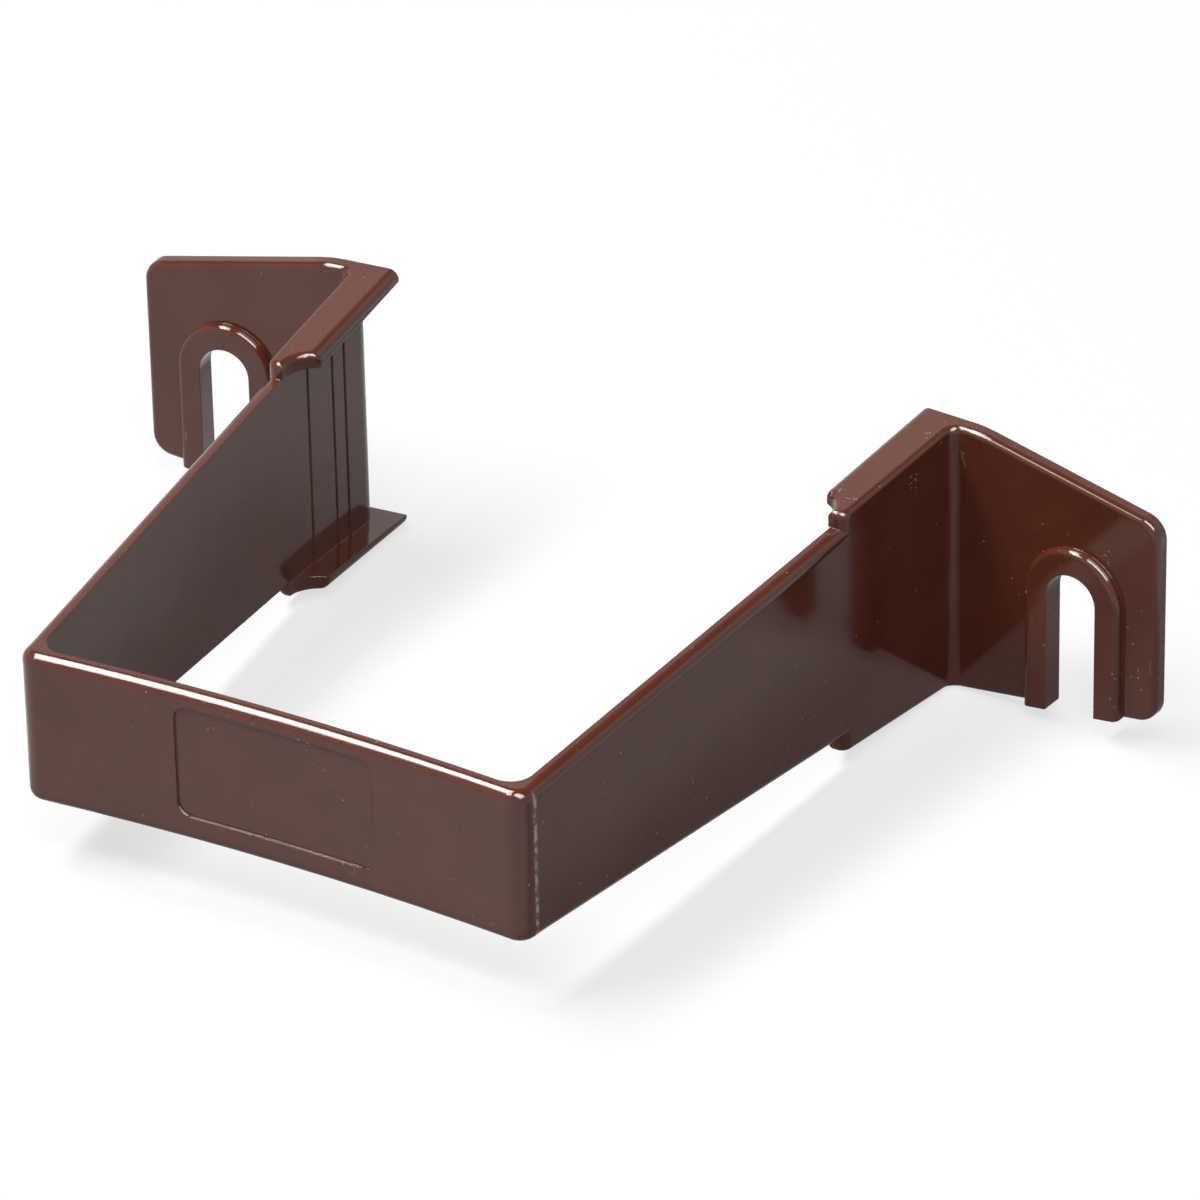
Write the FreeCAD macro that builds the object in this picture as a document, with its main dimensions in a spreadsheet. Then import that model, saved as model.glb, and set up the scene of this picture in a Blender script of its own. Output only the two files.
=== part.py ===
import FreeCAD, Part
import Sketcher
import math
import os

# Downpipe bracket: a one-piece moulded bracket that holds a square rainwater pipe off a wall.
# Frame: +X to the right of someone who faces the wall, +Y into the wall, +Z up.
# X = 0 is the mirror plane, Z = 0 is half height, Y = 0 is the wall plane that the flanges reach.
# The free bracket stands sprung open: its front bows inward and both arms splay by the same angle.
# The right half is modelled, and the whole shape is mirrored at the end.

NODE = "downpipe_bracket"
Vector = FreeCAD.Vector

# How close, in mm, an edge must lie to the place that a test names
SLACK = 0.05
RIM_SLACK = 0.2
# The smallest change of volume, in mm3, that a feature may make
LEAST_VOLUME = 0.5

# Driving sizes: name, millimetres or degrees, what it is
SIZES = (
    ("pipe_side", 65.0, "outside width of the square pipe"),
    ("pipe_play", 0.5, "side play of the pipe at the front, both sides together"),
    ("seat_play", 1.2, "play between the back of the pipe and the seat"),
    ("wall", 2.0, "wall of the front plate and of the arms"),
    ("splay", 5.3, "angle by which each arm opens"),
    ("standoff", 21.2, "from the seat behind the pipe to the wall plane"),
    ("front_height", 20.3, "height of the front plate"),
    ("taper", 4.0, "rise of an arm's top edge, and fall of its bottom edge"),
    ("taper_start", 3.5, "from the front face to where the taper begins"),
    ("taper_blend", 30.0, "radius that eases the level front into the taper"),
    ("flange_reach", 3.4, "how far a flange's front end reaches in past the arm's wall"),
    ("flange_slant", 1.2, "angle by which a flange's free edge leans further in toward the wall plane"),
    ("flange_wall", 2.1, "thickness of a flange's front end"),
    ("flange_thin", 1.2, "angle by which a flange thins toward the wall plane"),
    ("flange_round", 1.4, "round on the free edges of a flange"),
    ("seat_radius", 4.2, "hollow in a flange's front end for the pipe's rounded corner"),
    ("seat_land", 0.3, "flat left between that hollow and the arm's wall"),
    ("pad_rise", 0.16, "rise of each shallow pad on the inner wall behind the pipe"),
    ("pad_one", 3.0, "from the seat to the first pad"),
    ("pad_two", 9.4, "from the seat to the second pad"),
    ("pad_three", 12.4, "from the seat to the third pad"),
    ("corner_outer", 2.4, "round on the outside of the front corner"),
    ("corner_inner", 3.0, "round on the inside of the front corner"),
    ("panel_width", 27.2, "width of the shallow blank panel in the front face"),
    ("panel_height", 14.9, "height of that panel"),
    ("panel_rise", 0.75, "height of the panel's middle above the front plate's middle"),
    ("panel_depth", 0.3, "depth of that panel"),
    ("panel_corner", 1.8, "round in the panel's corners"),
    ("ear_wall", 2.0, "thickness of a fixing ear"),
    ("ear_reach", 29.5, "from the arm's outer face to the end of the ear"),
    ("ear_knee", 3.4, "from the arm's outer face to where the ear's top begins to fall"),
    ("ear_top_fall", 11.2, "slope of the ear's top edge"),
    ("ear_foot_rise", 8.2, "slope of the ear's bottom edge"),
    ("ear_corner", 3.0, "round on the ear's outer corners"),
    ("ear_fillet", 1.3, "fillet between the arm and the ear"),
    ("heel_round", 4.6, "round where the inner wall turns into the ear's back"),
    ("slot_place", 17.9, "from the arm's outer face to the middle of the screw slot"),
    ("slot_width", 7.0, "width of the screw slot"),
    ("rib_wall", 3.3, "width of the rib beside the slot"),
    ("rib_rise", 1.2, "how far the rib stands out from the ear"),
    ("rib_round", 0.8, "round on the rib's outer edge"),
    ("knee_round", 15.0, "radius that eases the ear's edges into their slopes"),
    ("flange_corner", 1.5, "round on a flange's outer front corner"),
    ("front_round", 1.4, "round on the outer edges of the front plate and the arms"),
    ("rear_round", 0.8, "round on the outer edges of the flanges and the ears"),
)


class Size:
    """A size as an expression on the sheet, with the number that it starts at."""

    def __init__(self, text, value):
        self.text = text
        self.value = value

    def join(self, sign, other, value):
        other = other if isinstance(other, Size) else number(other)
        return Size(f"({self.text} {sign} {other.text})", value(self.value, other.value))

    def __add__(self, other):
        return self.join("+", other, lambda a, b: a + b)

    def __sub__(self, other):
        return self.join("-", other, lambda a, b: a - b)

    def __mul__(self, other):
        return self.join("*", other, lambda a, b: a * b)

    def __truediv__(self, other):
        return self.join("/", other, lambda a, b: a / b)

    def __neg__(self):
        return Size(f"(-1 * {self.text})", -self.value)


def sine(angle):
    return Size(f"sin({angle.text})", math.sin(math.radians(angle.value)))


def cosine(angle):
    return Size(f"cos({angle.text})", math.cos(math.radians(angle.value)))


def tangent(angle):
    return Size(f"tan({angle.text})", math.tan(math.radians(angle.value)))


def number(value):
    """A measured number as a size, for use in the formulas of sizes."""
    return Size(repr(value), value)


ZERO = number(0.0)
ONE = number(1.0)

doc = FreeCAD.newDocument("Bracket")
sheet = doc.addObject("Spreadsheet::Sheet", "Sizes")
size = {}
for row, (alias, value, note) in enumerate(SIZES, start=1):
    sheet.set(f"A{row}", note)
    sheet.set(f"B{row}", str(value))
    sheet.setAlias(f"B{row}", alias)
    size[alias] = Size(f"Sizes.{alias}", value)
doc.recompute()

# Sizes that follow from the driving ones
wall = size["wall"]
splay = size["splay"]
half_width = (size["pipe_side"] + size["pipe_play"]) / 2 + wall
bow_radius = half_width / sine(splay)
bow_sag = bow_radius * (ONE - cosine(splay))
seat = wall + bow_sag + size["pipe_side"] + size["seat_play"]
step = seat - size["seat_radius"]
arm = seat + size["standoff"]


def flange_edge(place):
    """How far a flange reaches in from the arm's outer face, at a distance back from the front face."""
    return wall + size["flange_reach"] + (place - step) * tangent(size["flange_slant"])


# the arm's outer face meets the front face at the corner, and the wall plane at the heel
front_y = -(arm * cosine(splay) + flange_edge(arm) * sine(splay))
heel_x = half_width + arm * sine(splay)
heel_y = front_y + arm * cosine(splay)
bow_y = front_y - bow_radius * cosine(splay)
half_front = size["front_height"] / 2


def arm_top(place):
    """Half height of the arm, at a distance along it from the front face."""
    return half_front + (place - size["taper_start"]) * tangent(size["taper"])


def channel_top(place):
    """Half height of the gap between the two flanges of one arm."""
    return arm_top(place) + (place - step) * tangent(size["flange_thin"])


def flange_top(place):
    return arm_top(place) + size["flange_wall"]


def ear_top(place):
    """Height of the ear's top edge, at a distance out from the arm."""
    return flange_top(arm) - (place - size["ear_knee"]) * tangent(size["ear_top_fall"])


def ear_foot(place):
    return place * tangent(size["ear_foot_rise"]) - flange_top(arm)


body = doc.addObject("PartDesign::Body", "Bracket")
body.Label = NODE
base_plane = {feature.Role: feature for feature in body.Origin.OriginFeatures}


def bind(thing, path, value):
    thing.setExpression(path, value.text)


def new_sketch(name, plane, along=None):
    """A sketch on an origin plane, or on that plane moved and turned with the right arm.

    along "arm" puts its origin where the arm's outer face meets the front face, and
    "heel" where that face meets the wall plane. Sketches in the arm's frame measure
    outward from the outer face and back from the front face.
    """
    sketch = body.newObject("Sketcher::SketchObject", name)
    sketch.AttachmentSupport = (base_plane[plane], [""])
    sketch.MapMode = "FlatFace"
    if along is not None:
        x, y = (half_width, front_y) if along == "arm" else (heel_x, heel_y)
        local = {
            "XY_Plane": (x, y, None, "Yaw"),
            "XZ_Plane": (x, None, -y, "Pitch"),
            "YZ_Plane": (y, None, x, "Pitch"),
        }[plane]
        for axis, value in zip("xyz", local[:3]):
            if value is not None:
                bind(sketch, f"AttachmentOffset.Base.{axis}", value)
        bind(sketch, f"AttachmentOffset.Rotation.{local[3]}", -splay)
    return sketch


def hold(sketch, kind, *where, value, name):
    """Adds a dimension and binds it to the sheet."""
    index = sketch.addConstraint(Sketcher.Constraint(kind, *where, value.value))
    sketch.renameConstraint(index, name)
    bind(sketch, f"Constraints.{name}", value)


def hold_point(sketch, geo, end, x, y, name):
    """Places one end of a line, or the centre of an arc, by its distances from the origin."""
    for kind, value in (("DistanceX", x), ("DistanceY", y)):
        if value is ZERO:
            axis = -2 if kind == "DistanceX" else -1
            sketch.addConstraint(Sketcher.Constraint("PointOnObject", geo, end, axis))
        else:
            hold(sketch, kind, -1, 1, geo, end, value=value, name=name + kind[-1])


def point(x, y):
    return Vector(x.value, y.value, 0)


def flipped(corners):
    """The corners of an outline turned over, top to bottom."""
    return [(x, -y) for x, y in corners]


def outline(sketch, corners, name="p"):
    """A closed outline of straight lines through the corners."""
    first = sketch.GeometryCount
    count = len(corners)
    for index, corner in enumerate(corners):
        ahead = corners[(index + 1) % count]
        sketch.addGeometry(Part.LineSegment(point(*corner), point(*ahead)))
    for index in range(count):
        ahead = first + (index + 1) % count
        sketch.addConstraint(Sketcher.Constraint("Coincident", first + index, 2, ahead, 1))
    for index, corner in enumerate(corners):
        hold_point(sketch, first + index, 1, *corner, f"{name}{index}")


def add(kind, name, sketch=None, length=None, **settings):
    """A feature of the body, which must change the volume. Its own settings are given by name."""
    before = body.Tip.Shape.Volume if body.Tip else 0
    feature = body.newObject(f"PartDesign::{kind}", name)
    if sketch is not None:
        feature.Profile = sketch
        sketch.Visibility = False
    for key, value in settings.items():
        setattr(feature, key, value)
    if length is not None:
        bind(feature, "Length", length)
    doc.recompute()
    grown = feature.Shape.Volume - before
    if grown * (-1 if kind == "Pocket" else 1) < LEAST_VOLUME:
        raise RuntimeError(f"{name} changed the volume by {grown:.3f} mm3")
    return feature


turn = math.radians(splay.value)
up = Vector(0, 0, 1)
out_dir = Vector(math.cos(turn), -math.sin(turn), 0)
back_dir = Vector(math.sin(turn), math.cos(turn), 0)
corner = point(half_width, front_y)
bow = point(ZERO, bow_y)


def in_arm(x, y):
    """A point given in the arm's frame, out from the outer face and back from the front face."""
    return corner + out_dir * x + back_dir * y


def to_arm(place):
    """The arm-frame coordinates of a point of the body: out, back and up."""
    across = place - corner
    return Vector(across.dot(out_dir), across.dot(back_dir), place.z)


def near(value, target):
    return abs(value - target) < SLACK


def pick(test):
    """The names of the body's edges whose middle and ends all pass a test, in the arm's frame."""
    names = []
    for index, edge in enumerate(body.Tip.Shape.Edges, start=1):
        middle = edge.valueAt((edge.FirstParameter + edge.LastParameter) / 2)
        places = [to_arm(middle)] + [to_arm(vertex.Point) for vertex in edge.Vertexes]
        if test(*places):
            names.append(f"Edge{index}")
    return names


def round_edges(name, test, radius):
    base = body.Tip
    names = pick(test)
    if not names:
        raise RuntimeError(f"{name} found no edge to round")
    fillet = body.newObject("PartDesign::Fillet", name)
    fillet.Base = (base, names)
    bind(fillet, "Radius", radius)
    doc.recompute()
    return fillet


# The front plate's right half and the right arm, as one bent wall
plan = new_sketch("WallPlan", "XY_Plane")
inner_arc = bow_radius + wall
drop = inner_arc.value - math.sqrt(inner_arc.value**2 - wall.value**2)
inner_corner = in_arm(-wall.value, wall.value - drop)
swing = math.atan2(inner_corner.y - bow.y, inner_corner.x - bow.x)
plan.addGeometry(
    [
        Part.ArcOfCircle(Part.Circle(bow, up, bow_radius.value), math.pi / 2 - turn, math.pi / 2),
        Part.LineSegment(corner, in_arm(0, arm.value)),
        Part.LineSegment(in_arm(0, arm.value), in_arm(-wall.value, arm.value)),
        Part.LineSegment(in_arm(-wall.value, arm.value), inner_corner),
        Part.ArcOfCircle(Part.Circle(bow, up, inner_arc.value), swing, math.pi / 2),
        Part.LineSegment(bow + Vector(0, inner_arc.value, 0), bow + Vector(0, bow_radius.value, 0)),
    ]
)
OUTER, SIDE, HEEL, INNER, BACK, MIDDLE = range(6)
for pair in (
    (OUTER, 1, SIDE, 1),
    (SIDE, 2, HEEL, 1),
    (HEEL, 2, INNER, 1),
    (INNER, 2, BACK, 1),
    (BACK, 2, MIDDLE, 1),
    (MIDDLE, 2, OUTER, 2),
    (BACK, 3, OUTER, 3),
):
    plan.addConstraint(Sketcher.Constraint("Coincident", *pair))
plan.addConstraint(Sketcher.Constraint("Vertical", MIDDLE))
plan.addConstraint(Sketcher.Constraint("Parallel", SIDE, INNER))
plan.addConstraint(Sketcher.Constraint("Perpendicular", SIDE, HEEL))
hold_point(plan, OUTER, 3, ZERO, bow_y, "bow")
plan.addConstraint(Sketcher.Constraint("PointOnObject", MIDDLE, 1, -2))
hold_point(plan, SIDE, 1, half_width, front_y, "corner")
hold_point(plan, SIDE, 2, heel_x, heel_y, "heel")
hold(plan, "Distance", HEEL, value=wall, name="armWall")
hold(plan, "Radius", BACK, value=inner_arc, name="backBow")
add("Pad", "WallBlank", plan, flange_top(arm) * 2, SideType="Symmetric")

# The arms grow taller toward the wall, and the front plate stays level
room = size["front_height"]
past = arm + room
ease = size["taper_blend"] * tangent(size["taper"] / 2)
level_end = size["taper_start"] - ease


def taper_outline(sketch, side, name):
    """What is cut away beyond one long edge of the wall. side is 1 for the top and -1 for the bottom."""
    corners = [
        (-room, half_front),
        (level_end, half_front),
        (past, arm_top(past)),
        (past, arm_top(past) + room),
        (-room, arm_top(past) + room),
    ]
    if side < 0:
        corners = flipped(corners)
    slant = math.radians(size["taper"].value)
    tip = Vector(
        level_end.value + size["taper_blend"].value * math.sin(slant),
        side * (half_front.value + size["taper_blend"].value * (1 - math.cos(slant))),
        0,
    )
    centre = Vector(level_end.value, side * (half_front.value + size["taper_blend"].value), 0)
    circle = Part.Circle(centre, up, size["taper_blend"].value)
    quarter = -side * math.pi / 2
    ends = sorted((quarter, quarter + side * slant))
    level, slope, rear, roof, front, blend = range(sketch.GeometryCount, sketch.GeometryCount + 6)
    sketch.addGeometry(
        [
            Part.LineSegment(point(*corners[0]), point(*corners[1])),
            Part.LineSegment(tip, point(*corners[2])),
            Part.LineSegment(point(*corners[2]), point(*corners[3])),
            Part.LineSegment(point(*corners[3]), point(*corners[4])),
            Part.LineSegment(point(*corners[4]), point(*corners[0])),
            Part.ArcOfCircle(circle, *ends),
        ]
    )
    blend_start, blend_end = (1, 2) if side > 0 else (2, 1)
    sketch.addConstraint(Sketcher.Constraint("Tangent", level, 2, blend, blend_start))
    sketch.addConstraint(Sketcher.Constraint("Tangent", slope, 1, blend, blend_end))
    for one, two in ((slope, rear), (rear, roof), (roof, front), (front, level)):
        sketch.addConstraint(Sketcher.Constraint("Coincident", one, 2, two, 1))
    for geo, index, label in ((level, 0, "a"), (rear, 2, "c"), (roof, 3, "d"), (front, 4, "e")):
        hold_point(sketch, geo, 1, *corners[index], name + label)
    sketch.addConstraint(Sketcher.Constraint("Horizontal", level))
    hold(sketch, "DistanceX", -1, 1, level, 2, value=level_end, name=name + "Level")
    hold(sketch, "Radius", blend, value=size["taper_blend"], name=name + "Blend")


through = arm * 2
profile = new_sketch("ArmProfile", "YZ_Plane", "arm")
taper_outline(profile, 1, "top")
taper_outline(profile, -1, "foot")
add("Pocket", "Taper", profile, through, SideType="Symmetric")

# The flanges, above and below the arm's wall, hold the pipe off the wall.
# Inside the wall each flange thins toward the wall plane.
for part, top, length in (
    ("FlangeRoot", arm_top, wall),
    ("Flanges", channel_top, flange_edge(arm)),
):
    flanges = new_sketch(part + "Profile", "YZ_Plane", "arm")
    ring = [(step, top(step)), (arm, top(arm)), (arm, flange_top(arm)), (step, flange_top(step))]
    outline(flanges, ring, "top")
    outline(flanges, flipped(ring), "foot")
    add("Pad", part, flanges, length, Reversed=True)

# The free edge of each flange leans in toward the wall plane
front_end = step - size["flange_wall"]
slant = new_sketch("FlangeSlant", "XY_Plane", "arm")
outline(
    slant,
    [
        (-flange_edge(front_end), front_end),
        (-flange_edge(past), past),
        (-(flange_edge(past) + room), past),
        (-(flange_edge(past) + room), front_end),
    ],
)
add("Pocket", "Slant", slant, through, SideType="Symmetric")


def free_edge(*places):
    return all(
        near(place.x, -flange_edge(number(place.y)).value)
        and near(abs(place.z), flange_top(number(place.y)).value)
        for place in places
    )


round_edges("FlangeRound", free_edge, size["flange_round"])

# The hollow in each flange's front end, where the pipe's rounded corner sits
hollow = new_sketch("SeatHollow", "XY_Plane", "arm")
seat_side = -(wall + size["seat_land"] + size["seat_radius"])
hollow.addGeometry(Part.Circle(point(seat_side, step), up, size["seat_radius"].value))
hold_point(hollow, 0, 3, seat_side, step, "hollow")
hold(hollow, "Radius", 0, value=size["seat_radius"], name="hollowRadius")
add("Pocket", "Seat", hollow, through, SideType="Symmetric")

# The fixing ear, and the cut that brings its top and bottom level with the flanges
ear = new_sketch("EarOutline", "XZ_Plane", "heel")
inside = -(wall / 2)
outside = size["ear_reach"]
outline(
    ear,
    [
        (inside, ear_top(inside)),
        (inside, ear_foot(inside)),
        (outside, ear_foot(outside)),
        (outside, ear_top(outside)),
    ],
)
add("Pad", "Ear", ear, size["ear_wall"])
level = new_sketch("FlangeLevel", "YZ_Plane", "arm")
ring = [
    (seat, flange_top(seat)),
    (past, flange_top(past)),
    (past, flange_top(past) + room),
    (seat, flange_top(past) + room),
]
outline(level, ring, "top")
outline(level, flipped(ring), "foot")
add("Pocket", "LevelEar", level, through, SideType="Symmetric")

# Shallow pads on the inner wall behind the pipe, each a little prouder than the one before.
# Their ends lie inside the flanges.
PADS = ("pad_one", "pad_two", "pad_three")
inset = size["flange_wall"] / 2
for count, place in enumerate(PADS, start=1):
    pad = new_sketch(f"PadOutline{count}", "YZ_Plane", "arm")
    start = seat + size[place]
    outline(
        pad,
        [
            (start, -(arm_top(start) + inset)),
            (arm, -(arm_top(arm) + inset)),
            (arm, arm_top(arm) + inset),
            (start, arm_top(start) + inset),
        ],
    )
    add("Pad", f"WallPad{count}", pad, wall + size["pad_rise"] * count, Reversed=True)

front_of_ear = arm - size["ear_wall"]
innermost = -(wall + size["pad_rise"] * len(PADS))


def upright_at(x, y):
    """A test for the upright edge at one place of the arm's plan."""
    return lambda *places: all(near(place.x, x.value) and near(place.y, y.value) for place in places)


# Rounds in plan: the bent wall's corners, and where the wall turns into the ear
for name, x, y, radius in (
    ("CornerOutside", ZERO, ZERO, "corner_outer"),
    ("CornerInside", -wall, wall, "corner_inner"),
    ("EarFillet", ZERO, front_of_ear, "ear_fillet"),
    ("HeelRound", innermost, arm, "heel_round"),
    ("FlangeCorner", ZERO, step, "flange_corner"),
):
    round_edges(name, upright_at(x, y), size[radius])


def ear_end(middle, *ends):
    """The ear's two outer corners, which run through its thickness."""
    return near(middle.x, outside.value) and near(middle.y, (arm - size["ear_wall"] / 2).value)


round_edges("EarCorners", ear_end, size["ear_corner"])


def rim_gap(place):
    """How far a point lies from the top or bottom rim of the flanges and the ear."""
    tallest = flange_top(number(place.y)).value
    if place.z > 0:
        return abs(place.z - min(tallest, ear_top(number(place.x)).value))
    return abs(place.z - max(-tallest, ear_foot(number(place.x)).value))


def knee(middle, *ends):
    """The ridge where an ear's top or bottom edge turns to slope away."""
    return (
        front_of_ear.value < middle.y < arm.value
        and 0 < middle.x < (size["ear_knee"] + size["ear_wall"]).value
        and rim_gap(middle) < SLACK
    )


round_edges("KneeRound", knee, size["knee_round"])


def front_rim(middle, *ends):
    """The outer top and bottom edges of the front plate and the arm, as far as the flanges."""
    from_bow = (in_arm(middle.x, middle.y) - bow).Length
    outer = middle.x > -size["corner_outer"].value / 2 or near(from_bow, bow_radius.value)
    return outer and all(
        place.y < step.value + SLACK
        and near(abs(place.z), max(half_front.value, arm_top(number(place.y)).value))
        for place in (middle, *ends)
    )


round_edges("FrontRim", front_rim, size["front_round"])


def rear_rim(middle, *ends):
    """The outer edges of the flanges and the ear, all but those against the wall."""
    round_start = -(flange_edge(number(middle.y)) - size["flange_round"]).value
    if middle.y > front_of_ear.value + SLACK or near(middle.x, round_start):
        return False
    if near(middle.y, front_of_ear.value) and middle.x > (outside - size["ear_corner"]).value:
        return True
    return middle.y > step.value - SLACK and all(rim_gap(place) < RIM_SLACK for place in (middle, *ends))


round_edges("RearRim", rear_rim, size["rear_round"])

# The shallow blank panel in the front face, which follows the bow
panel_half = size["panel_width"] / 2
floor_radius = bow_radius + size["panel_depth"]
floor_swing = math.acos(panel_half.value / floor_radius.value)
floor_side = point(panel_half, bow_y) + Vector(0, floor_radius.value * math.sin(floor_swing), 0)
panel = new_sketch("PanelPlan", "XY_Plane")
bind(panel, "AttachmentOffset.Base.z", size["panel_rise"])
panel.addGeometry(
    [
        Part.ArcOfCircle(Part.Circle(bow, up, floor_radius.value), floor_swing, math.pi / 2),
        Part.LineSegment(bow + Vector(0, floor_radius.value, 0), point(ZERO, front_y)),
        Part.LineSegment(point(ZERO, front_y), point(panel_half, front_y)),
        Part.LineSegment(point(panel_half, front_y), floor_side),
    ]
)
for pair in ((0, 2, 1, 1), (1, 2, 2, 1), (2, 2, 3, 1), (3, 2, 0, 1)):
    panel.addConstraint(Sketcher.Constraint("Coincident", *pair))
panel.addConstraint(Sketcher.Constraint("Vertical", 1))
panel.addConstraint(Sketcher.Constraint("Vertical", 3))
hold_point(panel, 0, 3, ZERO, bow_y, "bow")
hold_point(panel, 2, 1, ZERO, front_y, "middle")
hold_point(panel, 3, 1, panel_half, front_y, "side")
hold(panel, "Radius", 0, value=floor_radius, name="floor")
add("Pocket", "Panel", panel, size["panel_height"], SideType="Symmetric")


def panel_corner(middle, *ends):
    """The panel's corners, which run through its depth."""
    from_middle = abs(middle.z - size["panel_rise"].value)
    across = in_arm(middle.x, middle.y).x
    return near(across, panel_half.value) and near(from_middle, size["panel_height"].value / 2)


round_edges("PanelCorners", panel_corner, size["panel_corner"])

# The rib round the screw slot, and the slot, which is open at the bottom
rib_half = size["slot_width"] / 2 + size["rib_wall"]


def arch(sketch, half, foot_left, foot_right):
    """An upright outline with a round top, centred on the slot and at half height."""
    left, right = size["slot_place"] - half, size["slot_place"] + half
    centre = point(size["slot_place"], ZERO)
    sketch.addGeometry(
        [
            Part.LineSegment(point(left, foot_left), point(left, ZERO)),
            Part.ArcOfCircle(Part.Circle(centre, up, half.value), 0, math.pi),
            Part.LineSegment(point(right, ZERO), point(right, foot_right)),
            Part.LineSegment(point(right, foot_right), point(left, foot_left)),
        ]
    )
    sketch.addConstraint(Sketcher.Constraint("Tangent", 0, 2, 1, 2))
    sketch.addConstraint(Sketcher.Constraint("Tangent", 2, 1, 1, 1))
    sketch.addConstraint(Sketcher.Constraint("Coincident", 2, 2, 3, 1))
    sketch.addConstraint(Sketcher.Constraint("Coincident", 3, 2, 0, 1))
    sketch.addConstraint(Sketcher.Constraint("Vertical", 0))
    sketch.addConstraint(Sketcher.Constraint("Vertical", 2))
    hold_point(sketch, 1, 3, size["slot_place"], ZERO, "centre")
    hold(sketch, "Radius", 1, value=half, name="round")
    hold(sketch, "DistanceY", -1, 1, 0, 1, value=foot_left, name="footLeft")
    hold(sketch, "DistanceY", -1, 1, 2, 2, value=foot_right, name="footRight")


rib = new_sketch("RibOutline", "XZ_Plane", "heel")
arch(
    rib,
    rib_half,
    ear_foot(size["slot_place"] - rib_half),
    ear_foot(size["slot_place"] + rib_half),
)
add("Pad", "Rib", rib, size["ear_wall"] + size["rib_rise"])
slot = new_sketch("SlotOutline", "XZ_Plane", "heel")
arch(slot, size["slot_width"] / 2, -(flange_top(arm) + room), -(flange_top(arm) + room))
add("Pocket", "Slot", slot, room, SideType="Symmetric")


def rib_edge(*places):
    """The outer edge of the rib's front face: its arch above half height and its legs below."""
    front = (front_of_ear - size["rib_rise"]).value
    middle = size["slot_place"].value
    return all(
        near(place.y, front) and near(math.hypot(place.x - middle, max(place.z, 0)), rib_half.value)
        for place in places
    )


round_edges("RibRound", rib_edge, size["rib_round"])

# The left half
mirror_plane = (base_plane["YZ_Plane"], [""])
body.Tip = add("Mirrored", "LeftHalf", MirrorPlane=mirror_plane, TransformMode="Whole shape")
doc.recompute()

for thing in doc.Objects:
    if "Invalid" in thing.State or "Error" in thing.State:
        raise RuntimeError(f"{thing.Name} failed: {thing.State}")
if body.Shape.isNull() or not body.Shape.isValid() or len(body.Shape.Solids) != 1:
    raise RuntimeError("the bracket isn't one valid solid")

os.makedirs("parts", exist_ok=True)
body.Shape.exportStep(f"parts/{NODE}.step")
box = body.Shape.BoundBox
print(f"{body.Label}: {box.XLength:.2f} x {box.YLength:.2f} x {box.ZLength:.2f} mm, {body.Shape.Volume:.0f} mm3")
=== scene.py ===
import math
import random

import bmesh
import bpy
from mathutils import Matrix, Vector
from mathutils.bvhtree import BVHTree


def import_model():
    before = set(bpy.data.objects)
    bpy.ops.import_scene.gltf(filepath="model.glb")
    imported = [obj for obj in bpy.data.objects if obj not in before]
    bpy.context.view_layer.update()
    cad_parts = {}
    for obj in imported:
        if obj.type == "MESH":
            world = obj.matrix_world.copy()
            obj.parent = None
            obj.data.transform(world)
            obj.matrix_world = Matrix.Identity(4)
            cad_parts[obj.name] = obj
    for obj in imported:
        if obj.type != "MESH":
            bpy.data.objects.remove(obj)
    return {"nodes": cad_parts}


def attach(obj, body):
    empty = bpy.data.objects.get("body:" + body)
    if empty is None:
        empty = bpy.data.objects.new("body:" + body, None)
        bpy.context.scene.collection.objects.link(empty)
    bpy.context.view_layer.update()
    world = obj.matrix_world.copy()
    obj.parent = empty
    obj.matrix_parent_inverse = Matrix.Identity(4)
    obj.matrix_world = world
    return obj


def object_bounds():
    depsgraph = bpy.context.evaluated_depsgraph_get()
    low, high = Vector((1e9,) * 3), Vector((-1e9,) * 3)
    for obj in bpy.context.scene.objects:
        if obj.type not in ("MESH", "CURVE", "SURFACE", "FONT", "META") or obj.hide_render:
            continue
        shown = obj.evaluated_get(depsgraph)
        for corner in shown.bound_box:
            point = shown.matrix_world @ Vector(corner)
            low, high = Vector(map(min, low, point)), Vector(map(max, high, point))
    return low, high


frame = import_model()
cad_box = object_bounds()

MM = 0.001

# The camera at the photograph's viewing angle: angles in degrees, sensor and lens in millimetres
CAMERA_AIM = Vector((12.82, -36.11, 2.59)) * MM
CAMERA_AZIMUTH = 30.88
CAMERA_ELEVATION = 29.83
CAMERA_ROLL = -1.15
CAMERA_DISTANCE = 1018.0 * MM
SENSOR_WIDTH = 36.0
LENS = 253.2
CLIP_START = 0.01
CLIP_END = 100.0

# The floor, with its radius in metres: the share of light that it sends back, and the white that it
# shows on top of that
FLOOR_RADIUS = 6.0
FLOOR_SIDES = 96
FLOOR_GREY = 0.36
FLOOR_ROUGHNESS = 0.9
FLOOR_SEEN = 0.7
# The patch round the bracket where the floor's white is dimmer in gloss, as a painted shade of the
# bracket, in millimetres: its middle, and half its width across and along, first of its dim core and
# then out to the end of its soft edge
DIM_MIDDLE = Vector((25.0, -12.0, 0))
DIM_CORE = (70.0, 73.0)
DIM_EDGE = (88.0, 100.0)
# The share of the floor's white that the core keeps
DIM_LEFT = 0.3

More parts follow.
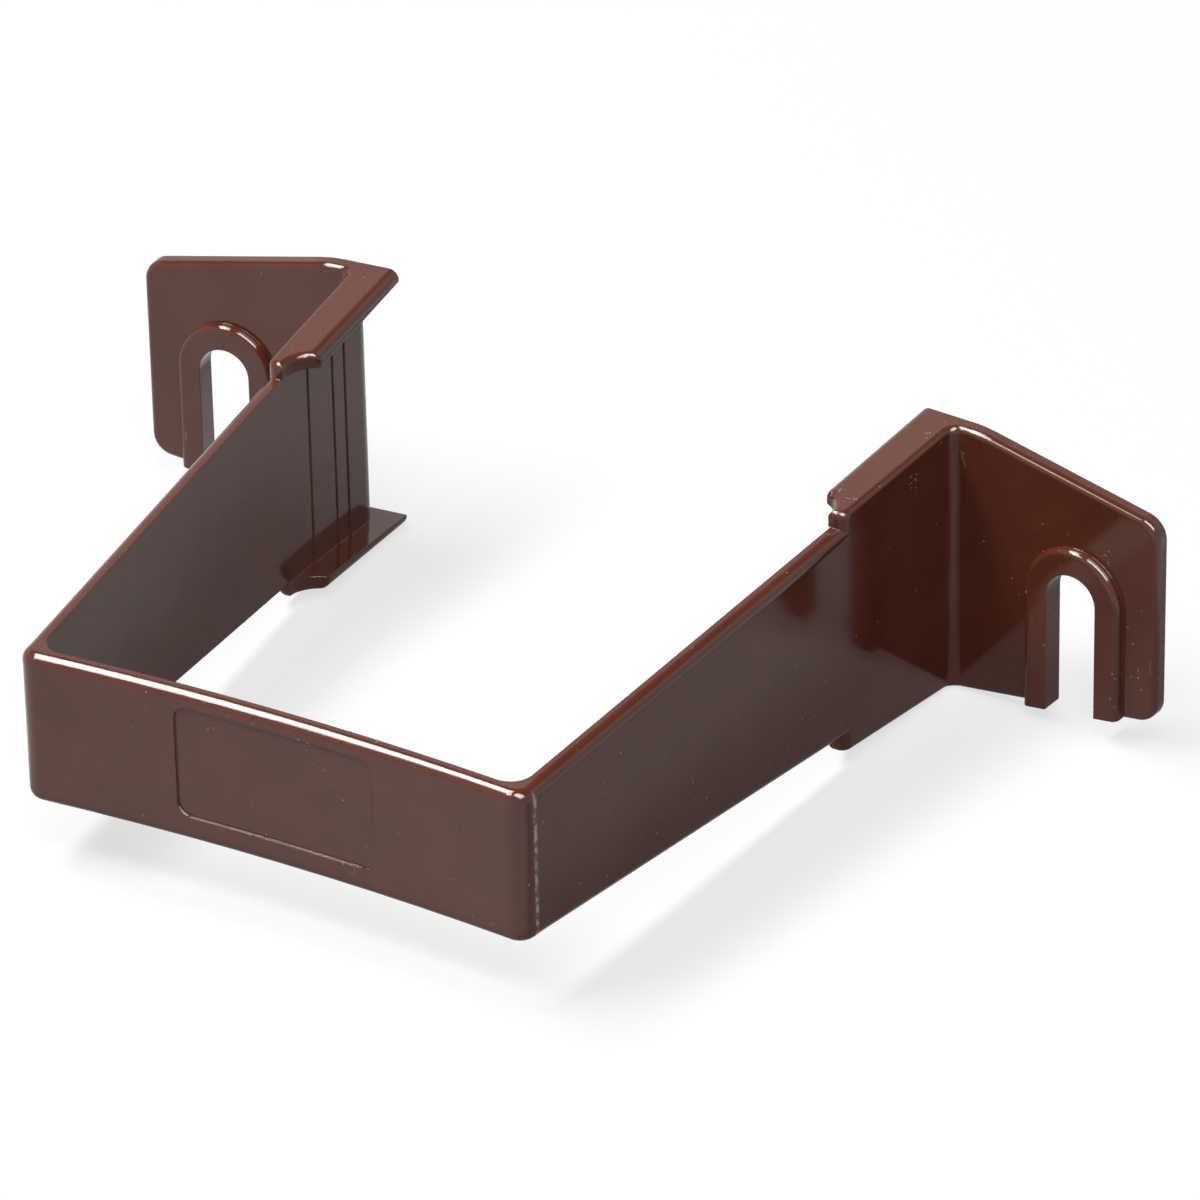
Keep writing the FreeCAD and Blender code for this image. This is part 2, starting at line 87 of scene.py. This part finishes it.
# Lamps: name, place, direction of the longer side, short and long side in metres, watts, and whether
# it is for gloss alone
LAMPS = (
    ("strip_left", (-0.76, -0.38, 1.50), (0, 1, 0), (0.34, 1.44), 20.0, False),
    ("strip_middle", (-0.48, -0.38, 1.50), (0, 1, 0), (0.20, 1.44), 4.0, False),
    ("strip_right", (0.45, -0.62, 1.25), (1.1, -0.05, -0.68), (0.30, 0.80), 5.0, False),
    ("gloss_left", (-0.64, -0.38, 1.48), (0, 1, 0), (0.54, 1.44), 27.0, True),
    ("gloss_right", (0.55, -0.48, 1.05), (1.1, -0.05, -0.68), (0.66, 1.15), 34.0, True),
)
LAMP_AIM = Vector((0, -0.05, 0))

# The world: white up to one height and grey above another, where 0 is the horizon and 1 is overhead
BACKDROP_WHITE = 0.75
BACKDROP_TOP = 0.62
CEILING_GREY = 0.1
CEILING_START = 0.72
# The share of that white which the world gives as light
WORLD_FILL = 0.1

# The plastic: colours in linear light, sizes in millimetres
BROWN_DARK = (0.134, 0.033, 0.017, 1)
BROWN_LIGHT = (0.172, 0.045, 0.023, 1)
PLASTIC_IOR = 1.5
EDGE_SOFTNESS = 0.2
EDGE_SAMPLES = 4
# Noises: the size of their patches, and how much finer detail they have
CLOUD = (9.0, 4)
GRAIN = (0.45, 2)
PEEL = (1.9, 1)
SMUDGE = (14.0, 3)
# The part of a noise's range that is stretched over the whole range
CLOUD_RANGE = (0.3, 0.7)
SMUDGE_RANGE = (0.4, 0.7)
CLOUD_SHARE = 0.7
GRAIN_SHARE = 0.3
PEEL_HEIGHT = 0.0022
GRAIN_HEIGHT = 0.0005
# Roughness of the clean skin and of a smudge
SMOOTH = 0.08
SMUDGED = 0.14

# The worn line down the front right corner: its place, and how far from it the wear starts to fade
# and ends, with the noise that breaks it up and the least that is left of it
WORN_COLOUR = (0.72, 0.62, 0.56, 1)
WORN_LINE = Vector((35.0, -88.62, 0))
WORN_CORE = 0.1
WORN_REACH = 0.46
WORN_PATCH = (1.0, 5)
WORN_RANGE = (0.40, 0.58)
WORN_LEAST = 0.15
WORN_ROUGHNESS = 0.35

# The dirt's colours, its noises for colour, gloss and skin, and its least and most roughness
# These colours also paint a glint on the raised line in the panel's corner
SCUFF_AND_GLINT_COLOUR = (0.30, 0.17, 0.12, 1)
SPECK_AND_GLINT_COLOUR = (0.36, 0.25, 0.20, 1)
SPECK_TINT = (0.45, 3)
SPECK_GLOSS = (0.45, 1)
SPECK_SKIN = (0.45, 2)
SPECK_ROUGHNESS = (0.25, 0.6)

# Marks that the mould and handling left, in millimetres from the frame's origin: a place and a radius
SPECKS = (
    ((-17.17, -89.92, 9.06), 0.15),
    ((-9.05, -89.37, 6.05), 0.16),
    ((-8.3, -89.4, 6.4), 0.11),
    ((-7.37, -89.33, 6.92), 0.10),
    ((-2.71, -89.58, 8.64), 0.10),
    ((3.59, -89.58, 8.27), 0.16),
    ((4.2, -89.3, 7.5), 0.12),
    ((4.45, -89.29, 7.01), 0.10),
    ((-3.69, -89.58, -6.78), 0.12),
    ((-1.64, -89.27, -6.21), 0.11),
    ((9.21, -89.68, -6.91), 0.19),
    ((12.71, -89.77, -6.5), 0.13),
    ((12.36, -89.47, -3.63), 0.10),
    ((35.12, -87.15, 5.05), 0.14),
    ((34.64, -89.79, -2.16), 0.16),
    ((69.84, -5.03, -8.3), 0.17),
    ((70.3, -5.07, -9.84), 0.15),
    ((68.31, -4.89, -1.67), 0.15),
    ((69.06, -4.96, -3.8), 0.15),
    ((54.28, -4.66, -0.76), 0.20),
    ((57.01, -5.05, -7.25), 0.14),
    ((66.55, -5.93, -11.72), 0.14),
)
# Patches of flecks: the middle, how far they reach, and how many there are
FLECK_PATCHES = (
    ((37.6, -20.9, 16.9), 1.1, 14),
    ((39.8, -22.0, 16.9), 0.7, 8),
    ((41.4, -5.2, 18.0), 0.9, 10),
    ((-40.5, -20.5, -17.0), 1.4, 8),
    ((65.0, -4.7, 6.8), 0.8, 8),
    ((42.1, -11.0, 14.4), 1.2, 10),
    ((-37.5, -70.0, 6.0), 6.0, 14),
    ((-40.0, -35.0, 2.0), 9.0, 22),
    ((67.0, -5.0, -8.0), 5.0, 16),
    ((8.0, -89.7, 7.0), 6.0, 12),
)
FLECK_SPREAD = 0.5
# Raised lines: half their width, and the places that they pass. The last is a raised line along the
# panel's corner, whose pale colour paints a glint there.
HAIRS = (
    (0.045, ((44.19, -2.66, 15.29), (44.40, -2.68, 14.28), (44.95, -2.72, 13.03))),
    (0.08, ((-66.53, -5.93, -9.28), (-66.60, -5.94, -11.05))),
    (0.045, ((71.50, -5.19, -5.24), (71.54, -5.19, -7.33))),
    (0.045, ((41.9, -12.0, 15.3), (42.1, -11.6, 15.5), (42.1, -11.3, 15.1))),
    (0.045, ((42.1, -11.0, 14.6), (42.2, -10.6, 14.7), (42.2, -10.4, 14.2))),
    (0.13, ((-13.57, -89.6, -5.72), (-13.05, -89.6, -6.39), (-12.21, -89.6, -6.81))),
)
HAIR_TIP = 0.3
HAIR_STEPS = 5
# The crescent below the panel, with its angles in degrees
CRESCENT_CENTRE = Vector((10.35, -89.7, -7.45))
CRESCENT_RADIUS = 0.52
CRESCENT_THICK = 0.045
CRESCENT_START = 50
CRESCENT_END = -130
CRESCENT_TURN = -20
CRESCENT_STEPS = 2
# Dust: radii in millimetres, where a higher power makes large specks rarer
DUST_COUNT = 700
DUST_LEAST = 0.03
DUST_MOST = 0.14
DUST_POWER = 3
DUST_SEED = 7
# A speck's shape: its height as a share of its radius, and for each ring round it a share of the
# radius and of the height
DOME_SIDES = 9
DOME_RISE = 0.4
DOME_RINGS = ((1.0, -0.1), (0.62, 0.75))


def link(thing):
    """Puts an object in the scene."""
    bpy.context.scene.collection.objects.link(thing)
    return thing


def camera():
    """The photograph's camera: aimed at one point of the bracket, turned and rolled about it."""
    azimuth, elevation = math.radians(CAMERA_AZIMUTH), math.radians(CAMERA_ELEVATION)
    back = Vector(
        (
            math.sin(azimuth) * math.cos(elevation),
            -math.cos(azimuth) * math.cos(elevation),
            math.sin(elevation),
        )
    )
    data = bpy.data.cameras.new("Camera")
    data.sensor_width = SENSOR_WIDTH
    data.lens = LENS
    data.clip_start = CLIP_START
    data.clip_end = CLIP_END
    made = link(bpy.data.objects.new("Camera", data))
    level = back.to_track_quat("Z", "Y").to_matrix().to_4x4()
    roll = Matrix.Rotation(math.radians(CAMERA_ROLL), 4, "Z")
    made.matrix_world = Matrix.Translation(CAMERA_AIM + back * CAMERA_DISTANCE) @ level @ roll
    bpy.context.scene.camera = made


class Graph:
    """Short names for the nodes of a material or of the world."""

    def __init__(self, owner):
        owner.use_nodes = True
        self.nodes, self.links = owner.node_tree.nodes, owner.node_tree.links

    def node(self, kind, given, settings=()):
        """A new node with its own settings, and with each input either linked or set."""
        made = self.nodes.new(kind)
        for name, value in dict(settings).items():
            setattr(made, name, value)
        for name, value in given.items():
            if isinstance(value, bpy.types.NodeSocket):
                self.links.new(value, made.inputs[name])
            else:
                made.inputs[name].default_value = value
        return made

    def span(self, value, low, high, start, end):
        """Goes smoothly from start, where the value is low, to end, where it is high."""
        given = {"Value": value, "From Min": low, "From Max": high, "To Min": start, "To Max": end}
        made = self.node("ShaderNodeMapRange", given, {"interpolation_type": "SMOOTHSTEP"})
        return made.outputs["Result"]

    def sum(self, first, second, clamp=False):
        settings = {"operation": "ADD", "use_clamp": clamp}
        return self.node("ShaderNodeMath", {0: first, 1: second}, settings).outputs[0]

    def times(self, first, second):
        return self.node("ShaderNodeMath", {0: first, 1: second}, {"operation": "MULTIPLY"}).outputs[0]

    def seen(self, gloss=1.0):
        """1 in the camera's own view and through glass, gloss in a reflection, and 0 as light."""
        rays = self.nodes.new("ShaderNodeLightPath").outputs
        reflected = self.times(rays["Is Glossy Ray"], gloss)
        total = self.sum(rays["Is Camera Ray"], reflected, clamp=True)
        return self.sum(total, rays["Is Transmission Ray"], clamp=True)


class Shade(Graph):
    """The nodes of one material, which follow the object's own coordinates."""

    def __init__(self, name):
        self.material = bpy.data.materials.new(name)
        super().__init__(self.material)
        self.shader = self.nodes["Principled BSDF"]
        self.place = self.nodes.new("ShaderNodeTexCoord").outputs["Object"]

    def noise(self, size, detail):
        """Cloudy noise from 0 to 1 with patches of about this many millimetres."""
        given = {"Vector": self.place, "Scale": 1 / (size * MM), "Detail": detail}
        return self.node("ShaderNodeTexNoise", given).outputs["Fac"]

    def blend(self, share, first, second):
        made = self.node("ShaderNodeMix", {0: share, 6: first, 7: second}, {"data_type": "RGBA"})
        return made.outputs[2]

    def bump(self, height, normal):
        """Raises the surface by a height in millimetres."""
        given = {"Height": height, "Distance": MM, "Normal": normal}
        return self.node("ShaderNodeBump", given).outputs["Normal"]

    def finish(self, colour, roughness, normal):
        self.links.new(colour, self.shader.inputs["Base Color"])
        self.links.new(roughness, self.shader.inputs["Roughness"])
        self.links.new(normal, self.shader.inputs["Normal"])
        return self.material


def worn_corner(shade):
    """The share of wear: strong along the line down the front right corner, and broken up."""
    parts = shade.node("ShaderNodeSeparateXYZ", {0: shade.place}).outputs
    level = shade.node("ShaderNodeCombineXYZ", {"X": parts["X"], "Y": parts["Y"]}).outputs[0]
    far = shade.node("ShaderNodeVectorMath", {0: level, 1: WORN_LINE * MM}, {"operation": "DISTANCE"})
    near = shade.span(far.outputs["Value"], WORN_CORE * MM, WORN_REACH * MM, 1, 0)
    broken = shade.span(shade.noise(*WORN_PATCH), *WORN_RANGE, WORN_LEAST, 1)
    return shade.times(near, broken)


def plastic():
    """Dark brown gloss plastic: cloudy colour, orange-peel skin, smudges and one worn corner."""
    shade = Shade("brown_plastic")
    shade.shader.inputs["IOR"].default_value = PLASTIC_IOR
    cloud = shade.span(shade.noise(*CLOUD), *CLOUD_RANGE, 0, 1)
    grain = shade.noise(*GRAIN)
    worn = worn_corner(shade)
    tint = shade.sum(shade.times(cloud, CLOUD_SHARE), shade.times(grain, GRAIN_SHARE))
    colour = shade.blend(worn, shade.blend(tint, BROWN_DARK, BROWN_LIGHT), WORN_COLOUR)
    smudge = shade.span(shade.noise(*SMUDGE), *SMUDGE_RANGE, SMOOTH, SMUDGED)
    roughness = shade.sum(smudge, shade.times(worn, WORN_ROUGHNESS))
    given = {"Radius": EDGE_SOFTNESS * MM}
    rounded = shade.node("ShaderNodeBevel", given, {"samples": EDGE_SAMPLES}).outputs[0]
    skin = shade.times(shade.noise(*PEEL), PEEL_HEIGHT)
    skin = shade.sum(skin, shade.times(grain, GRAIN_HEIGHT))
    return shade.finish(colour, roughness, shade.bump(skin, rounded))


def dust_and_glint():
    """Pale specks of dust and moulding flash, and a painted glint on the raised line in the panel's
    corner.
    """
    shade = Shade("pale_specks_and_glint")
    # The pale colour also serves as a painted glint on the raised line in the panel's corner
    colour = shade.blend(shade.noise(*SPECK_TINT), SCUFF_AND_GLINT_COLOUR, SPECK_AND_GLINT_COLOUR)
    roughness = shade.span(shade.noise(*SPECK_GLOSS), 0, 1, *SPECK_ROUGHNESS)
    flat = shade.nodes.new("ShaderNodeNewGeometry").outputs["Normal"]
    skin = shade.times(shade.noise(*SPECK_SKIN), PEEL_HEIGHT)
    return shade.finish(colour, roughness, shade.bump(skin, flat))


def side_vectors(normal):
    """Two directions square to a normal and to each other."""
    first = normal.orthogonal().normalized()
    return first, normal.cross(first)


def dome(mesh, place, normal, radius):
    """A low round speck on the surface, left out where it would reach past the bracket's box."""
    if not all(low + radius < value < high - radius for value, low, high in zip(place, *cad_box)):
        return
    first, second = side_vectors(normal)
    rings = []
    for share, rise in DOME_RINGS:
        ring = []
        for step in range(DOME_SIDES):
            turn = math.tau * step / DOME_SIDES
            out = first * math.cos(turn) + second * math.sin(turn)
            ring.append(mesh.verts.new(place + (out * share + normal * rise * DOME_RISE) * radius))
        rings.append(ring)
    outer, inner = rings
    top = mesh.verts.new(place + normal * DOME_RISE * radius)
    for step in range(DOME_SIDES):
        after = (step + 1) % DOME_SIDES
        mesh.faces.new((outer[step], outer[after], inner[after], inner[step]))
        mesh.faces.new((inner[step], inner[after], top))


def hair(mesh, places, normals, radius):
    """A thin raised line along points of the surface, pointed at both ends."""
    last = len(places) - 1
    rings = []
    for step, (place, normal) in enumerate(zip(places, normals)):
        ahead = (places[min(step + 1, last)] - places[max(step - 1, 0)]).normalized()
        across = normal.cross(ahead).normalized()
        thick = radius * (HAIR_TIP if step in (0, last) else 1.0)
        ring = [place + across * thick, place + normal * thick, place - across * thick]
        rings.append([mesh.verts.new(corner) for corner in ring])
    for near, far in zip(rings, rings[1:]):
        for side in range(2):
            mesh.faces.new((near[side], near[side + 1], far[side + 1], far[side]))


def curve_point(before, start, end, after, t):
    """The point at share t of the way from start to end, on a smooth curve through all four."""
    straight = (end - before) * t
    bent = (before * 2 - start * 5 + end * 4 - after) * t * t
    turned = (start * 3 - before - end * 3 + after) * t * t * t
    return (start * 2 + straight + bent + turned) * 0.5


def smooth_line(corners, steps):
    """The corners in metres, with points between them on a curve through them all."""
    points = [Vector(corner) * MM for corner in corners]
    padded = [points[0] * 2 - points[1]] + points + [points[-1] * 2 - points[-2]]
    line = []
    for four in zip(padded, padded[1:], padded[2:], padded[3:]):
        line += [curve_point(*four, step / steps) for step in range(steps)]
    return line + [points[-1]]


def crescent_line():
    """The crescent below the panel, as points on an arc."""
    corners = []
    for degrees in range(CRESCENT_START, CRESCENT_END - 1, CRESCENT_TURN):
        turn = math.radians(degrees)
        corners.append(CRESCENT_CENTRE + Vector((math.cos(turn), 0, math.sin(turn))) * CRESCENT_RADIUS)
    return smooth_line(corners, CRESCENT_STEPS)


def surface_places(mesh, count, chance):
    """Points spread evenly over the surface, each with its normal."""
    mesh.calc_loop_triangles()
    triangles = list(mesh.loop_triangles)
    picked = chance.choices(triangles, weights=[triangle.area for triangle in triangles], k=count)
    for triangle in picked:
        a, b, c = (mesh.vertices[index].co for index in triangle.vertices)
        s, t = chance.random(), chance.random()
        if s + t > 1:
            s, t = 1 - s, 1 - t
        yield a + (b - a) * s + (c - a) * t, triangle.normal.copy()


def surface_marks(bracket):
    """Specks, flecks and fine raised lines that stand on the bracket's skin, the one in the panel's
    corner pale as a painted glint.
    """
    tree = BVHTree.FromObject(bracket, bpy.context.evaluated_depsgraph_get())
    chance = random.Random(DUST_SEED)
    mesh = bmesh.new()
    for place, radius in SPECKS:
        on, normal, _, _ = tree.find_nearest(Vector(place) * MM)
        dome(mesh, on, normal, radius * MM)
    for centre, reach, count in FLECK_PATCHES:
        for _ in range(count):
            stray = Vector([chance.gauss(0, reach * FLECK_SPREAD) for _ in range(3)])
            on, normal, _, _ = tree.find_nearest((Vector(centre) + stray) * MM)
            dome(mesh, on, normal, chance.uniform(DUST_LEAST, DUST_MOST) * MM)
    for on, normal in surface_places(bracket.data, DUST_COUNT, chance):
        size = DUST_LEAST + (DUST_MOST - DUST_LEAST) * chance.random() ** DUST_POWER
        dome(mesh, on, normal, size * MM)
    # The last hair is the raised line in the panel's corner, whose pale colour paints a glint
    lines = [(radius, smooth_line(corners, HAIR_STEPS)) for radius, corners in HAIRS]
    for radius, line in lines + [(CRESCENT_THICK, crescent_line())]:
        found = [tree.find_nearest(place) for place in line]
        hair(mesh, [item[0] for item in found], [item[1] for item in found], radius * MM)
    for face in mesh.faces:
        face.smooth = True
    data = bpy.data.meshes.new("surface_marks")
    mesh.to_mesh(data)
    mesh.free()
    data.materials.append(dust_and_glint())
    made = link(bpy.data.objects.new("surface_marks", data))
    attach(made, "root")


def painted_floor_shade(shade):
    """1 on the open floor, and less in the patch round the bracket: a painted shade of the bracket
    that gloss shows.
    """
    given = {0: shade.place, 1: DIM_MIDDLE * MM}
    away = shade.node("ShaderNodeVectorMath", given, {"operation": "SUBTRACT"})
    away = shade.node("ShaderNodeVectorMath", {0: away.outputs[0]}, {"operation": "ABSOLUTE"})
    parts = shade.node("ShaderNodeSeparateXYZ", {0: away.outputs[0]}).outputs
    across = shade.span(parts["X"], DIM_CORE[0] * MM, DIM_EDGE[0] * MM, 1, 0)
    along = shade.span(parts["Y"], DIM_CORE[1] * MM, DIM_EDGE[1] * MM, 1, 0)
    return shade.span(shade.times(across, along), 0, 1, 1, DIM_LEFT)


def floor():
    """A plain pale floor, which looks white and gives back less light than it shows, with a painted
    shade round the bracket in gloss.
    """
    shade = Shade("floor")
    shade.shader.inputs["Base Color"].default_value = (FLOOR_GREY, FLOOR_GREY, FLOOR_GREY, 1)
    shade.shader.inputs["Roughness"].default_value = FLOOR_ROUGHNESS
    shade.shader.inputs["Specular IOR Level"].default_value = 0.0
    shade.shader.inputs["Emission Color"].default_value = (1, 1, 1, 1)
    # The floor's white in gloss is cut round the bracket by a painted shade
    white = shade.times(shade.seen(painted_floor_shade(shade)), FLOOR_SEEN)
    shade.links.new(white, shade.shader.inputs["Emission Strength"])
    bpy.ops.mesh.primitive_circle_add(vertices=FLOOR_SIDES, radius=FLOOR_RADIUS, fill_type="NGON")
    made = bpy.context.object
    made.name = "floor"
    made.location = (0, 0, cad_box[0].z)
    made.data.materials.append(shade.material)


def lamp(name, place, longways, size, power, gloss_alone):
    """An area lamp that faces the bracket, with its longer side in the direction given."""
    data = bpy.data.lights.new(name, "AREA")
    data.shape = "RECTANGLE"
    data.size, data.size_y = size
    data.energy = power
    made = link(bpy.data.objects.new(name, data))
    back = (Vector(place) - LAMP_AIM).normalized()
    along = (Vector(longways) - back * back.dot(Vector(longways))).normalized()
    turn = Matrix((along.cross(back), along, back)).transposed()
    made.matrix_world = Matrix.Translation(place) @ turn.to_4x4()
    made.visible_diffuse = not gloss_alone


def world():
    """Pale near the horizon and dim above, and dimmer as light than as what the gloss shows."""
    made = bpy.data.worlds.new("world")
    bpy.context.scene.world = made
    graph = Graph(made)
    place = graph.nodes.new("ShaderNodeTexCoord").outputs["Generated"]
    height = graph.node("ShaderNodeSeparateXYZ", {0: place}).outputs["Z"]
    white = graph.span(height, BACKDROP_TOP, CEILING_START, BACKDROP_WHITE, CEILING_GREY)
    share = graph.span(graph.seen(), 0, 1, WORLD_FILL, 1)
    background = graph.nodes["Background"]
    background.inputs["Color"].default_value = (1, 1, 1, 1)
    graph.links.new(graph.times(white, share), background.inputs["Strength"])


bpy.context.scene.view_settings.view_transform = "Standard"
camera()
world()
floor()
for settings in LAMPS:
    lamp(*settings)
bracket = frame["nodes"]["downpipe_bracket"]
bracket.data.materials.clear()
bracket.data.materials.append(plastic())
surface_marks(bracket)
